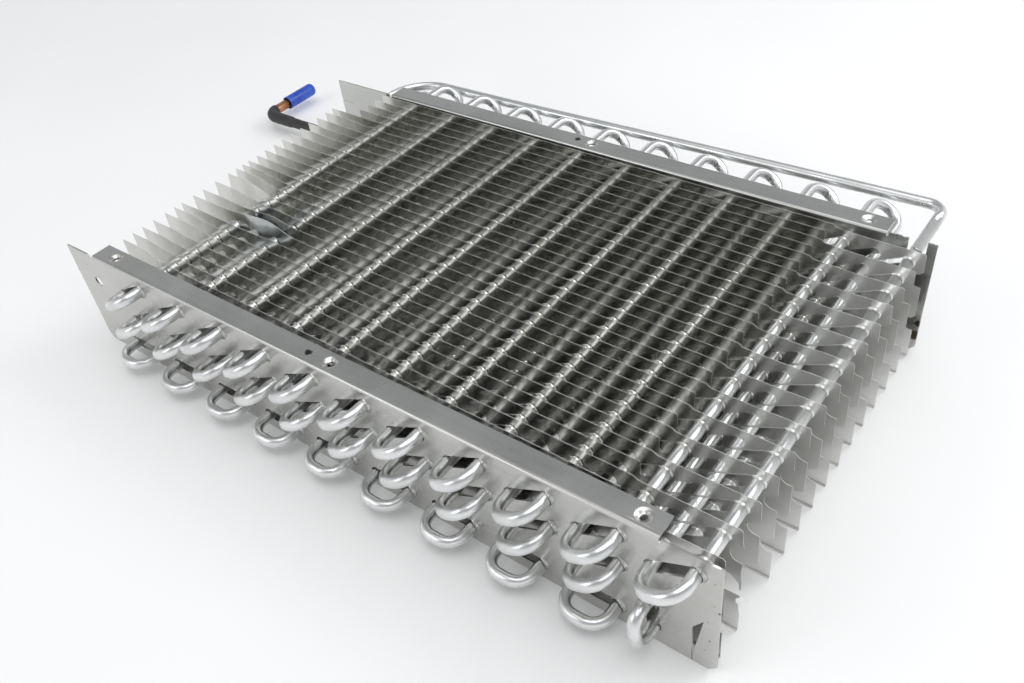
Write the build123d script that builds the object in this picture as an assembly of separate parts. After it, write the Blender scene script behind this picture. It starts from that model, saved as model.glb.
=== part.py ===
from build123d import *
import math
import os

# Evaporator coil. Sizes are in millimetres.
# X runs along the end plates, Y along the tube's legs and Z is up.
# The plates are drawn from the upper left corner of the near plate's face,
# and everything is moved to the middle screw hole when it is saved, with Z = 0
# where the formed countersink meets the hole's straight wall.

# Tube
TUBE_OD = 8.0
TIP_FLAT = 0.3
SEAM_SETBACK = 2.0
NEAR_TIP_REACH = 19.1
FAR_TIP_REACH = 54.5

# Slots of the upper two rows, each of which holds one bend's two legs
COLUMN_COUNT = 11
COLUMN_PITCH = 44.33
SLOT_RUN = 25.2
SLOT_DROP = 12.6
FIRST_COLUMN_INSET = 57.6
LAST_COLUMN_INSET = 13.9
TOP_LEVEL = 12.6
ROW_STEP = 25.0

# Bottom row and its link to the middle row
BOTTOM_COUNT = 9
BOTTOM_PITCH = 51.08
BOTTOM_RUN = 28.1
LINK_DROP = 27.0
LINK_SHIFT = 1.6
BOTTOM_MARGIN = 13.8

# End plates
PLATE_THICKNESS = 1.2
PLATE_SPAN = 292.4
FLANGE_WIDTH = 16.2
FOLD_RADIUS = 2.0
PLATE_SLOT_CLEARANCE = 0.45
CORNER_CHAMFER = 5.0
RELIEF_WIDTH = 1.5
RELIEF_DEPTH = 3.0
NEAR_FLANGE_LEFT_INSET = 31.0
NEAR_FLANGE_RIGHT_INSET = 35.0
FAR_FLANGE_LEFT_INSET = 66.0
FAR_FLANGE_RIGHT_INSET = 33.0

# Screw holes in the flanges
SCREW_HOLE_DIAMETER = 4.4
DIMPLE_DIAMETER = 10.8
DIMPLE_DEPTH = 1.8
HOLE_LEFT_INSET = 50.0
HOLE_RIGHT_INSET = 48.0
NEAR_HOLE_SETBACK = 8.6
FAR_HOLE_SETBACK = 9.4

# Openings at the plates' ends
ROUND_HOLE_DIAMETER = 8.4
ROUND_HOLE_INSET = 24.5
ROUND_HOLE_DEPTH = 25.9
TOP_NOTCH_LEFT_GAP = 4.6
TOP_NOTCH_RIGHT_GAP = 7.7
SIDE_SLIT_DEPTH = 19.6
SIDE_SLIT_LENGTH = 14.0
SLIT_WIDTH = 0.8
LANCE_INSET = 14.4
LANCE_TOP_INSET = 8.6
LANCE_LOWER_INSET = 13.7
LANCE_TOP = 49.6
LANCE_SHOULDER = 59.1
LANCE_FOOT = 82.0

# Fins
FIN_COUNT = 29
FIN_THICKNESS = 0.25
FIN_TUBE_CLEARANCE = 0.15
FIN_FLANGE_CLEARANCE = 0.3
FIN_BOTTOM_GAP = 3.5
FIRST_FIN_SETBACK = 12.4
LAST_FIN_GAP = 6.8
FIN_LEFT_INSET = 32.5
LONG_FIN_RIGHT_INSET = 2.5
SHORT_FIN_RIGHT_INSET = 68.0
LAST_FINS_TRIMMED = 4
TRIMMED_LEFT_INSET = 57.0
DIMPLE_NOTCH_CLEARANCE = 0.8
EDGE_NOTCH_DEPTH = 6.5
EDGE_NOTCH_HEIGHT = 10.2
EDGE_NOTCH_RISE = 2.6
UPPER_EDGE_NOTCH_LEVEL = 23.3
LOWER_EDGE_NOTCH_LEVEL = 59.4

# Return run behind the far bends
RETURN_CLEARANCE = 2.1
RETURN_FALL = 9.4
RETURN_LEFT_INSET = 33.0
RETURN_CORNER_RADIUS = 38.0
RETURN_DOWN_REACH = 15.6
RETURN_DOWN_LENGTH = 12.0
RETURN_STUB_LENGTH = 14.0

# Inlet run, its copper stub and the sleeve over their joint
INLET_REACH = 16.5
INLET_ALUMINIUM_LENGTH = 150.0
INLET_COPPER_LENGTH = 37.7
INLET_STUB_LENGTH = 46.0
COPPER_OD = 9.5
SLEEVE_WALL = 1.1
SLEEVE_CLEARANCE = 0.05
SLEEVE_LAP = 37.0
SLEEVE_END_LENGTH = 12.0
JOINT_GAP = 0.1

# Caps over the copper ends
CAP_OD = 13.4
CAP_CLEARANCE = 0.1
CAP_LIP = 1.0
CAP_LIP_DEPTH = 4.0
CAP_ROUND = 4.0
INLET_CAP_LAP = 18.0
INLET_CAP_END = 20.0
RETURN_CAP_LAP = 12.0
RETURN_CAP_END = 14.0

# Sizes that follow from the ones above
TUBE_RADIUS = TUBE_OD / 2
COPPER_RADIUS = COPPER_OD / 2
PLATE_LENGTH = (FIRST_COLUMN_INSET + COLUMN_PITCH * (COLUMN_COUNT - 1) + SLOT_RUN
                + LAST_COLUMN_INSET)
MIDDLE_LEVEL = TOP_LEVEL + ROW_STEP
BOTTOM_LEVEL = MIDDLE_LEVEL + SLOT_DROP + LINK_DROP
PLATE_HEIGHT = BOTTOM_LEVEL + BOTTOM_MARGIN
HOLE_SPACING = (PLATE_LENGTH - HOLE_LEFT_INSET - HOLE_RIGHT_INSET) / 2
MIDDLE_HOLE_X = HOLE_LEFT_INSET + HOLE_SPACING
FIN_PITCH = (PLATE_SPAN - FIRST_FIN_SETBACK - LAST_FIN_GAP) / (FIN_COUNT - 1)
FIN_TOP = PLATE_THICKNESS + FIN_FLANGE_CLEARANCE
FIN_BOTTOM = PLATE_HEIGHT - FIN_BOTTOM_GAP
FIN_SLOT = TUBE_OD + 2 * FIN_TUBE_CLEARANCE
PLATE_SLOT = TUBE_OD + 2 * PLATE_SLOT_CLEARANCE
FAR_TIP = PLATE_SPAN + FAR_TIP_REACH
RETURN_Y = FAR_TIP + TUBE_OD + RETURN_CLEARANCE


def upper_leg(column, level):
    """Right-hand leg of a slot in the top or the middle row."""
    return (FIRST_COLUMN_INSET + SLOT_RUN + COLUMN_PITCH * column, -level)


def lower_leg(column, level):
    """Left-hand leg of a slot in the top or the middle row."""
    return (FIRST_COLUMN_INSET + COLUMN_PITCH * column, -level - SLOT_DROP)


LAST = COLUMN_COUNT - 1
LINK_LOWER = (lower_leg(LAST, MIDDLE_LEVEL)[0] + LINK_SHIFT, -BOTTOM_LEVEL)
LINK_UPPER = lower_leg(LAST, MIDDLE_LEVEL)


def bottom_leg(index, right):
    """Left or right leg of a slot in the bottom row."""
    last_right = LINK_LOWER[0] - (BOTTOM_PITCH - BOTTOM_RUN)
    x = last_right - BOTTOM_PITCH * (BOTTOM_COUNT - 1 - index)
    if not right:
        x = x - BOTTOM_RUN
    return (x, -BOTTOM_LEVEL)


TOP_SLOTS = [(lower_leg(k, TOP_LEVEL), upper_leg(k, TOP_LEVEL)) for k in range(COLUMN_COUNT)]
MIDDLE_SLOTS = [(lower_leg(k, MIDDLE_LEVEL), upper_leg(k, MIDDLE_LEVEL)) for k in range(LAST)]
BOTTOM_SLOTS = [(bottom_leg(k, False), bottom_leg(k, True)) for k in range(BOTTOM_COUNT)]
SLOTS = TOP_SLOTS + MIDDLE_SLOTS + BOTTOM_SLOTS + [(LINK_LOWER, LINK_UPPER)]

# Every bend has one radius, which lets the closest two legs meet in a half turn
CLOSEST_LEGS = min(math.hypot(COLUMN_PITCH - SLOT_RUN, SLOT_DROP), BOTTOM_PITCH - BOTTOM_RUN,
                   ROW_STEP)
BEND_RADIUS = (CLOSEST_LEGS - TIP_FLAT) / 2
NEAR_SEAM = -NEAR_TIP_REACH + BEND_RADIUS + SEAM_SETBACK
FAR_SEAM = FAR_TIP - BEND_RADIUS - SEAM_SETBACK


def save(name, shape):
    """Write one piece, moved so that the middle screw hole is the origin."""
    placed = shape.moved(Location((-MIDDLE_HOLE_X, -NEAR_HOLE_SETBACK, DIMPLE_DEPTH)))
    placed.label = name
    export_step(placed, f"parts/{name}.step")


def round_bar(points, radius, corner_radii):
    """Round bar along a line of points, with a bend at each inner point."""
    if len(points) > 2:
        path = FilletPolyline(*points, radius=corner_radii)
    else:
        path = Line(*points)
    section = Plane(origin=path @ 0, z_dir=path % 0) * Circle(radius)
    return sweep(section, path=path)


def row_points(legs, first_end):
    """Corner points of a row whose legs are joined at the near and the far end in turn."""
    points = []
    end = first_end
    for this_leg, next_leg in zip(legs, legs[1:]):
        points.append((this_leg[0], end, this_leg[1]))
        points.append((next_leg[0], end, next_leg[1]))
        end = FAR_TIP if end == -NEAR_TIP_REACH else -NEAR_TIP_REACH
    return points


def xz_plane(y):
    """Sketch plane across the tube's legs, with its normal toward the far plate."""
    return Plane(origin=(0, y, 0), x_dir=(1, 0, 0), z_dir=(0, -1, 0))


def slot_sketch(slot, width, square_ends):
    """Slot around a pair of legs, round-ended in the plates and square-ended in the fins."""
    (x1, z1), (x2, z2) = slot
    distance = math.hypot(x2 - x1, z2 - z1)
    angle = math.degrees(math.atan2(z2 - z1, x2 - x1))
    shape = Rectangle(distance + width, width) if square_ends else SlotCenterToCenter(distance, width)
    return Pos((x1 + x2) / 2, (z1 + z2) / 2) * Rot(0, 0, angle) * shape


def dimple(x, y):
    """Formed countersink around a screw hole: the metal added below, and the cut."""
    slope = (DIMPLE_DIAMETER - SCREW_HOLE_DIAMETER) / 2
    hole_radius = SCREW_HOLE_DIAMETER / 2
    rim_radius = DIMPLE_DIAMETER / 2
    outer = Polyline((0, 0), (rim_radius, 0), (rim_radius, -PLATE_THICKNESS),
                     (rim_radius - slope, -PLATE_THICKNESS - DIMPLE_DEPTH),
                     (0, -PLATE_THICKNESS - DIMPLE_DEPTH), close=True)
    inner = Polyline((0, 1), (rim_radius, 1), (rim_radius, 0), (hole_radius, -DIMPLE_DEPTH),
                     (hole_radius, -2 * PLATE_THICKNESS - DIMPLE_DEPTH),
                     (0, -2 * PLATE_THICKNESS - DIMPLE_DEPTH), close=True)
    added = revolve(Plane.XZ * make_face(outer), Axis.Z)
    cut = revolve(Plane.XZ * make_face(inner), Axis.Z)
    return Pos(x, y, 0) * added, Pos(x, y, 0) * cut


def end_plate(fold_y, flange_left, flange_right, holes):
    """Folded sheet with a flange between two relief cuts and a slot for each bend."""
    t = PLATE_THICKNESS
    section = make_face(Polyline((0, 0), (FLANGE_WIDTH, 0), (FLANGE_WIDTH, -t), (t, -t),
                                 (t, -2 * RELIEF_DEPTH), (0, -2 * RELIEF_DEPTH), close=True))
    inner_corner = section.vertices().sort_by_distance((t, -t, 0))[0]
    section = fillet(inner_corner, FOLD_RADIUS - t)
    outer_corner = section.vertices().sort_by_distance((0, 0, 0))[0]
    section = fillet(outer_corner, FOLD_RADIUS)
    across = Plane(origin=(flange_left, fold_y, 0), x_dir=(0, 1, 0), z_dir=(1, 0, 0))
    folded = extrude(across * section, flange_right - flange_left)

    outline = Pos(PLATE_LENGTH / 2, -PLATE_HEIGHT / 2) * Rectangle(PLATE_LENGTH, PLATE_HEIGHT)
    outline = chamfer(outline.vertices().group_by(Axis.Y)[0], CORNER_CHAMFER)
    for edge in (flange_left - RELIEF_WIDTH / 2, flange_right + RELIEF_WIDTH / 2):
        outline -= Pos(edge, -RELIEF_DEPTH / 2) * Rectangle(RELIEF_WIDTH, RELIEF_DEPTH)
    middle = (flange_left + flange_right) / 2
    outline -= Pos(middle, -RELIEF_DEPTH / 2) * Rectangle(flange_right - flange_left, RELIEF_DEPTH)
    outline -= [slot_sketch(slot, PLATE_SLOT, False) for slot in SLOTS]
    web = extrude(xz_plane(fold_y) * outline, -t)

    plate = web + folded
    for x, setback in holes:
        added, cut = dimple(x, fold_y + setback)
        plate = plate + added - cut
    return plate


def near_end_plate():
    holes = [(HOLE_LEFT_INSET, NEAR_HOLE_SETBACK), (MIDDLE_HOLE_X, NEAR_HOLE_SETBACK),
             (PLATE_LENGTH - HOLE_RIGHT_INSET, NEAR_HOLE_SETBACK)]
    plate = end_plate(0, NEAR_FLANGE_LEFT_INSET, PLATE_LENGTH - NEAR_FLANGE_RIGHT_INSET, holes)
    cuts = Pos(ROUND_HOLE_INSET, -ROUND_HOLE_DEPTH) * Circle(ROUND_HOLE_DIAMETER / 2)
    x = PLATE_LENGTH - LANCE_INSET
    slit = PLATE_HEIGHT - LANCE_SHOULDER
    cuts += Pos(x, -PLATE_HEIGHT + slit / 2) * Rectangle(SLIT_WIDTH, slit)
    cuts += make_face(Polyline((x, -LANCE_SHOULDER), (PLATE_LENGTH - LANCE_TOP_INSET, -LANCE_TOP),
                               (PLATE_LENGTH - LANCE_LOWER_INSET, -LANCE_FOOT), (x, -LANCE_FOOT),
                               close=True))
    return plate - extrude(xz_plane(0) * cuts, -PLATE_THICKNESS)


def far_end_plate():
    holes = [(MIDDLE_HOLE_X, FAR_HOLE_SETBACK),
             (PLATE_LENGTH - HOLE_RIGHT_INSET, FAR_HOLE_SETBACK)]
    plate = end_plate(PLATE_SPAN, FAR_FLANGE_LEFT_INSET, PLATE_LENGTH - FAR_FLANGE_RIGHT_INSET,
                      holes)
    last_leg = upper_leg(LAST, TOP_LEVEL)
    notch_width = TOP_NOTCH_LEFT_GAP + TOP_NOTCH_RIGHT_GAP
    notch_x = last_leg[0] + (TOP_NOTCH_RIGHT_GAP - TOP_NOTCH_LEFT_GAP) / 2
    cuts = Pos(notch_x, -TOP_LEVEL / 2) * Rectangle(notch_width, TOP_LEVEL)
    cuts += Pos(SIDE_SLIT_LENGTH / 2, -SIDE_SLIT_DEPTH) * Rectangle(SIDE_SLIT_LENGTH, SLIT_WIDTH)
    return plate - extrude(xz_plane(PLATE_SPAN) * cuts, -PLATE_THICKNESS)


def edge_notch(right, level):
    """Open notch in a long fin's right edge, whose upper side rises outward."""
    half = EDGE_NOTCH_HEIGHT / 2
    inner = right - EDGE_NOTCH_DEPTH
    return make_face(Polyline((right + 1, -level + half + EDGE_NOTCH_RISE),
                              (inner + half, -level + half), (inner, -level + half / 2),
                              (inner, -level - half / 2), (inner + half, -level - half),
                              (right + 1, -level - half), close=True))


def fin(index):
    """One thin fin. Even ones are long, odd ones stop short and leave their last slots open."""
    y = FIRST_FIN_SETBACK + FIN_PITCH * index
    long_fin = index % 2 == 0
    left = TRIMMED_LEFT_INSET if index >= FIN_COUNT - LAST_FINS_TRIMMED else FIN_LEFT_INSET
    right = PLATE_LENGTH - (LONG_FIN_RIGHT_INSET if long_fin else SHORT_FIN_RIGHT_INSET)
    width = right - left
    height = FIN_BOTTOM - FIN_TOP
    sheet = Pos(left + width / 2, -FIN_TOP - height / 2) * Rectangle(width, height)
    sheet -= [slot_sketch(slot, FIN_SLOT, True) for slot in SLOTS]
    if long_fin:
        for level in (UPPER_EDGE_NOTCH_LEVEL, LOWER_EDGE_NOTCH_LEVEL):
            sheet -= edge_notch(right, level)
    notch_radius = DIMPLE_DIAMETER / 2 + DIMPLE_NOTCH_CLEARANCE
    if abs(y - NEAR_HOLE_SETBACK) < notch_radius + FIN_THICKNESS:
        for step in (-1, 0, 1):
            notch_depth = 2 * (PLATE_THICKNESS + DIMPLE_DEPTH + DIMPLE_NOTCH_CLEARANCE)
            sheet -= Pos(MIDDLE_HOLE_X + step * HOLE_SPACING, 0) * Rectangle(2 * notch_radius,
                                                                             notch_depth)
    return extrude(xz_plane(y - FIN_THICKNESS / 2) * sheet, -FIN_THICKNESS)


def top_row_tube():
    legs = [leg for slot in TOP_SLOTS for leg in slot]
    points = row_points(legs, -NEAR_TIP_REACH)
    start = (legs[0][0], FAR_SEAM, legs[0][1])
    end = (legs[-1][0], FAR_SEAM, legs[-1][1])
    return round_bar([start] + points + [end], TUBE_RADIUS, BEND_RADIUS)


def middle_row_tube():
    """Middle row with the far bend that joins it to the top row."""
    legs = [LINK_UPPER]
    for slot in reversed(MIDDLE_SLOTS):
        legs += [slot[1], slot[0]]
    legs.append(lower_leg(0, TOP_LEVEL))
    points = row_points(legs, FAR_TIP)
    start = (legs[0][0], NEAR_SEAM, legs[0][1])
    end = (legs[-1][0], FAR_SEAM, legs[-1][1])
    return round_bar([start] + points + [end], TUBE_RADIUS, BEND_RADIUS)


def bottom_row_tube():
    """Bottom row with the inlet run and the near bend that joins it to the middle row."""
    legs = [leg for slot in BOTTOM_SLOTS for leg in slot] + [LINK_LOWER, LINK_UPPER]
    points = row_points(legs, -NEAR_TIP_REACH)
    inlet_y = PLATE_SPAN + INLET_REACH
    first_x, first_z = legs[0]
    start = (first_x - INLET_ALUMINIUM_LENGTH, inlet_y, first_z)
    corner = (first_x, inlet_y, first_z)
    end = (legs[-1][0], NEAR_SEAM, legs[-1][1])
    return round_bar([start, corner] + points + [end], TUBE_RADIUS, BEND_RADIUS)


def return_line():
    """Run behind the far bends that sinks to the left and turns down behind the far plate."""
    x, z = upper_leg(LAST, TOP_LEVEL)
    low = z - RETURN_FALL
    down_y = PLATE_SPAN + RETURN_DOWN_REACH
    points = [(x, FAR_SEAM, z), (x, RETURN_Y, z), (RETURN_LEFT_INSET, RETURN_Y, low),
              (RETURN_LEFT_INSET, down_y, low),
              (RETURN_LEFT_INSET, down_y, low - RETURN_DOWN_LENGTH)]
    radii = [BEND_RADIUS, RETURN_CORNER_RADIUS, BEND_RADIUS]
    return round_bar(points, TUBE_RADIUS, radii)


def cap(lap, end_length):
    """Push-on cap with its mouth down at the origin and its round end up."""
    bore = COPPER_RADIUS + CAP_CLEARANCE
    outer = CAP_OD / 2
    length = lap + end_length
    floor = lap + CAP_CLEARANCE
    profile = make_face(Polyline((bore + CAP_LIP, 0), (outer, 0), (outer, length), (0, length),
                                 (0, floor), (bore, floor),
                                 (bore, CAP_LIP_DEPTH), (bore + CAP_LIP, CAP_LIP_DEPTH),
                                 close=True))
    top = profile.vertices().sort_by_distance((outer, length, 0))[0]
    profile = fillet(top, CAP_ROUND)
    return revolve(Plane.XZ * profile, Axis.Z)


def inlet_parts():
    """Copper stub, the sleeve over its joint and the cap over its end."""
    inlet_y = PLATE_SPAN + INLET_REACH
    first_x, z = bottom_leg(0, False)
    joint_x = first_x - INLET_ALUMINIUM_LENGTH
    corner_x = joint_x - INLET_COPPER_LENGTH
    stub = round_bar([(joint_x - JOINT_GAP, inlet_y, z), (corner_x, inlet_y, z),
                      (corner_x, inlet_y + INLET_STUB_LENGTH, z)], COPPER_RADIUS, BEND_RADIUS)

    bore = TUBE_RADIUS + SLEEVE_CLEARANCE
    wide_bore = COPPER_RADIUS + SLEEVE_CLEARANCE
    narrow = round_bar([(joint_x + SLEEVE_LAP, inlet_y, z), (joint_x, inlet_y, z)],
                       bore + SLEEVE_WALL, 0)
    wide_path = [(joint_x, inlet_y, z), (corner_x, inlet_y, z),
                 (corner_x, inlet_y + SLEEVE_END_LENGTH, z)]
    wide = round_bar(wide_path, wide_bore + SLEEVE_WALL, BEND_RADIUS)
    narrow_cut = round_bar([(joint_x + SLEEVE_LAP, inlet_y, z), (joint_x, inlet_y, z)], bore, 0)
    wide_cut = round_bar(wide_path, wide_bore, BEND_RADIUS)
    sleeve = narrow + wide - narrow_cut - wide_cut

    stub_end = inlet_y + INLET_STUB_LENGTH
    cap_body = cap(INLET_CAP_LAP, INLET_CAP_END)
    placed_cap = Pos(corner_x, stub_end - INLET_CAP_LAP, z) * Rot(-90, 0, 0) * cap_body
    return stub, sleeve, placed_cap


def return_end():
    """Copper stub below the return run's end, and its cap."""
    x = RETURN_LEFT_INSET
    y = PLATE_SPAN + RETURN_DOWN_REACH
    top = -TOP_LEVEL - RETURN_FALL - RETURN_DOWN_LENGTH - JOINT_GAP
    bottom = top - RETURN_STUB_LENGTH
    stub = round_bar([(x, y, top), (x, y, bottom)], COPPER_RADIUS, 0)
    cap_body = cap(RETURN_CAP_LAP, RETURN_CAP_END)
    placed_cap = Pos(x, y, bottom + RETURN_CAP_LAP) * Rot(180, 0, 0) * cap_body
    return stub, placed_cap


def main():
    os.makedirs("parts", exist_ok=True)
    save("near_end_plate", near_end_plate())
    save("far_end_plate", far_end_plate())
    for index in range(FIN_COUNT):
        kind = "short_fin" if index % 2 else "long_fin"
        save(f"{kind}_{index // 2 + 1:02d}", fin(index))
    save("top_row_tube", top_row_tube())
    save("middle_row_tube", middle_row_tube())
    save("bottom_row_tube", bottom_row_tube())
    save("return_line", return_line())
    stub, sleeve, inlet_cap = inlet_parts()
    save("inlet_copper_stub", stub)
    save("joint_sleeve", sleeve)
    save("inlet_cap", inlet_cap)
    stub, return_cap = return_end()
    save("return_copper_stub", stub)
    save("return_cap", return_cap)


main()
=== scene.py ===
import bpy
import math
import random
import numpy as np
from mathutils import Matrix, Vector, noise
from mathutils.geometry import delaunay_2d_cdt


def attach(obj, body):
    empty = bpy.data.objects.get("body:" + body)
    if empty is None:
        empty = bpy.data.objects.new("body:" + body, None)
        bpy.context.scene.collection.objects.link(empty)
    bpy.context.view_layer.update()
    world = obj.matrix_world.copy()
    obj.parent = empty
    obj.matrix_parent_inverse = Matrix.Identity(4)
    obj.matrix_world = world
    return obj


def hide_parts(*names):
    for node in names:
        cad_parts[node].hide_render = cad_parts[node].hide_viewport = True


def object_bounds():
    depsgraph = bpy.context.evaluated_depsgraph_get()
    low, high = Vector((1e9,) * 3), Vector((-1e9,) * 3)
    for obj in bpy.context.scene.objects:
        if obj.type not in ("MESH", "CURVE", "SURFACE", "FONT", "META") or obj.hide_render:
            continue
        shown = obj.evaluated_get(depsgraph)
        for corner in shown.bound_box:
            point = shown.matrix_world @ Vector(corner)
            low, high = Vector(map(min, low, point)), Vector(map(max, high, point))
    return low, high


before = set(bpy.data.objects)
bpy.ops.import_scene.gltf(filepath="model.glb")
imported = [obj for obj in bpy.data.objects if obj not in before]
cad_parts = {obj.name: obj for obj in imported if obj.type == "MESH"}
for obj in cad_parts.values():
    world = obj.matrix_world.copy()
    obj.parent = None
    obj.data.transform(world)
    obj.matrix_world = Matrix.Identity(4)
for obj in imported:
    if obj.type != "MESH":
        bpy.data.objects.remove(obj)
CAD_LOW, CAD_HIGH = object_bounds()

# Sizes in millimetres, drawn from the upper left corner of the near plate's face.
TUBE_R = 4.0
COPPER_R = 4.75
PLATE_SPAN = 292.4
PLATE_LENGTH = 540.0
PLATE_LOW = -91.0
BEND_R = 11.3
NEAR_TIP = -19.1
FAR_TIP = PLATE_SPAN + 54.5
RETURN_Y = FAR_TIP + 10.1
FIN_COUNT = 29
FIN_FIRST = 12.4
FIN_PITCH = (PLATE_SPAN - FIN_FIRST - 6.8) / (FIN_COUNT - 1)
FIN_TOP = -0.7
FIN_STEP = 1.9
FIN_BOTTOM = -87.6
FIN_HALF = 0.13
FIN_LEFT = 32.5
LATE_FINS = 4
LATE_FIN_LEFT = 57.0
LONG_FIN_INSET = 3.0
SHORT_FIN_INSET = 68.0
PLATE_T = 1.2
PLATE_SLOT_HALF = 4.45
SCREW_R = 2.2
SCREWS = (50.0, 271.0, 492.0)
NEAR_SCREW_LINE = 7.742
FAR_SCREW_LINE = 8.542
DIMPLE_DEPTH = 1.8
FLANGE_WIDTH = 16.2
FOLD = 2.0
FOLD_ARC = math.pi
RELIEF = 3.0
INLET_LEVEL = -77.2
RETURN_X = 33.0
RETURN_LEVEL = -22.0
TOP_LEVEL = 12.6
MIDDLE_LEVEL = 37.6
COLUMN_COUNT = 11
COLUMN_PITCH = 44.33
FIRST_UPPER_X = 82.8
FIRST_LOWER_X = 57.6
SLOT_DROP = 12.6
BOTTOM_COUNT = 9
BOTTOM_PITCH = 51.08
BOTTOM_RUN = 28.1
LAST_BOTTOM_X = 479.52
LINK_X = 502.5

# How far each fin's left tip leans beyond the rest, as a share of the pitch
LEFT_LEAN = {1: 0.05, 2: -0.04, 3: -0.12, 4: -0.08, 5: 0.07, 7: -0.27, 8: -0.08, 9: -0.08,
             10: 0.25, 11: 0.65, 12: 0.51, 13: 0.23, 14: -0.1, 15: -0.17, 16: -0.21, 17: -0.2,
             18: -0.22, 19: -0.14, 22: 0.04, 23: 0.16}

# Middle, width and depth of the dent in the fins that something has pressed
DENTS = {7: (139.0, 5.0, 0.9), 8: (112.0, 27.0, 7.0), 9: (113.0, 18.0, 3.4), 10: (112.0, 13.0, 1.0)}

# The near flange's middle screw hole, where its dimple meets the straight wall
ORIGIN = (SCREWS[1], 8.6, -DIMPLE_DEPTH)


def place(x, y, z):
    """A drawn point in the part's frame, in metres."""
    return tuple((value - origin) / 1000 for value, origin in zip((x, y, z), ORIGIN))


def upper(k, level):
    """X and Z of the higher leg in the slot of column k."""
    return (FIRST_UPPER_X + COLUMN_PITCH * k, -level)


def lower(k, level):
    """X and Z of the lower leg in the slot of column k."""
    return (FIRST_LOWER_X + COLUMN_PITCH * k, -level - SLOT_DROP)


def bottom(k, right):
    """X and Z of a leg in the bottom row."""
    x = LAST_BOTTOM_X - BOTTOM_PITCH * (BOTTOM_COUNT - 1 - k)
    return (x if right else x - BOTTOM_RUN, INLET_LEVEL)


def beside(slots, step):
    """The same slots, moved along the plate."""
    return [((a[0] + step, a[1]), (b[0] + step, b[1])) for a, b in slots]


LAST = COLUMN_COUNT - 1
LINK_LOWER = (LINK_X, INLET_LEVEL)
LINK_UPPER = lower(LAST, MIDDLE_LEVEL)
TOP_SLOTS = [(lower(k, TOP_LEVEL), upper(k, TOP_LEVEL)) for k in range(COLUMN_COUNT)]
MIDDLE_SLOTS = [(lower(k, MIDDLE_LEVEL), upper(k, MIDDLE_LEVEL)) for k in range(LAST)]
BOTTOM_SLOTS = [(bottom(k, False), bottom(k, True)) for k in range(BOTTOM_COUNT)]
SLOTS = TOP_SLOTS + MIDDLE_SLOTS + BOTTOM_SLOTS + [(LINK_LOWER, LINK_UPPER)]
# Slots that are left empty, between the others
SPARE_STEP = 22.16
SPARE_SLOTS = beside(TOP_SLOTS[1:], -SPARE_STEP) + beside(MIDDLE_SLOTS[:-1], SPARE_STEP)


# Materials

def new_material(name):
    """A material with its shader and the object's own coordinates."""
    material = bpy.data.materials.new(name)
    material.use_nodes = True
    nodes = material.node_tree.nodes
    shader = nodes["Principled BSDF"]
    coords = nodes.new("ShaderNodeTexCoord")
    return material, nodes, material.node_tree.links, shader, coords


def noise_node(nodes, links, coords, scale, detail, stretch=(1, 1, 1), rough=0.55):
    """Noise from 0 to 1 in the object's own coordinates, in metres."""
    mapping = nodes.new("ShaderNodeMapping")
    mapping.inputs["Scale"].default_value = stretch
    links.new(coords.outputs["Object"], mapping.inputs["Vector"])
    texture = nodes.new("ShaderNodeTexNoise")
    texture.inputs["Scale"].default_value = scale
    texture.inputs["Detail"].default_value = detail
    texture.inputs["Roughness"].default_value = rough
    links.new(mapping.outputs["Vector"], texture.inputs["Vector"])
    return texture.outputs["Fac"]


def ramp(nodes, links, source, stops):
    """Colours that a value from 0 to 1 picks from the stops."""
    node = nodes.new("ShaderNodeValToRGB")
    elements = node.color_ramp.elements
    while len(elements) < len(stops):
        elements.new(0.5)
    for element, (position, color) in zip(elements, stops):
        element.position = position
        element.color = (*color, 1)
    links.new(source, node.inputs["Fac"])
    return node.outputs["Color"]


def grey(v):
    """A colour with three equal parts."""
    return (v, v, v)


def mix_color(nodes, links, factor, a, b, kind="MIX"):
    """Two colours mixed by a factor. Each of the three is a value or another node's output."""
    node = nodes.new("ShaderNodeMix")
    node.data_type = "RGBA"
    node.blend_type = kind
    for socket, value in ((node.inputs["Factor"], factor), (node.inputs["A"], a),
                          (node.inputs["B"], b)):
        if isinstance(value, (int, float)):
            socket.default_value = value
        elif isinstance(value, tuple):
            socket.default_value = (*value, 1)
        else:
            links.new(value, socket)
    return node.outputs["Result"]


def bump(nodes, links, source, strength, distance, previous=None):
    """Relief from a height, on top of an earlier relief where one is given."""
    node = nodes.new("ShaderNodeBump")
    node.inputs["Strength"].default_value = strength
    node.inputs["Distance"].default_value = distance
    links.new(source, node.inputs["Height"])
    if previous is not None:
        links.new(previous, node.inputs["Normal"])
    return node.outputs["Normal"]


def spot(nodes, links, coords, centre, radius, ragged=0.5):
    """1 inside a ragged spot about a drawn point, 0 outside."""
    blur = nodes.new("ShaderNodeTexNoise")
    blur.inputs["Scale"].default_value = 0.9 / radius * 1000
    blur.inputs["Detail"].default_value = 3
    links.new(coords.outputs["Object"], blur.inputs["Vector"])
    shift = nodes.new("ShaderNodeVectorMath")
    shift.operation = "MULTIPLY_ADD"
    links.new(blur.outputs["Color"], shift.inputs[0])
    shift.inputs[1].default_value = (radius * ragged / 400,) * 3
    links.new(coords.outputs["Object"], shift.inputs[2])
    away = nodes.new("ShaderNodeVectorMath")
    away.operation = "DISTANCE"
    links.new(shift.outputs["Vector"], away.inputs[0])
    away.inputs[1].default_value = tuple(c + radius * ragged / 800 for c in place(*centre))
    return ramp(nodes, links, scaled(nodes, links, away.outputs["Value"], 0, radius / 500),
                [(0.40, grey(1)), (0.58, grey(0))])


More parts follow.
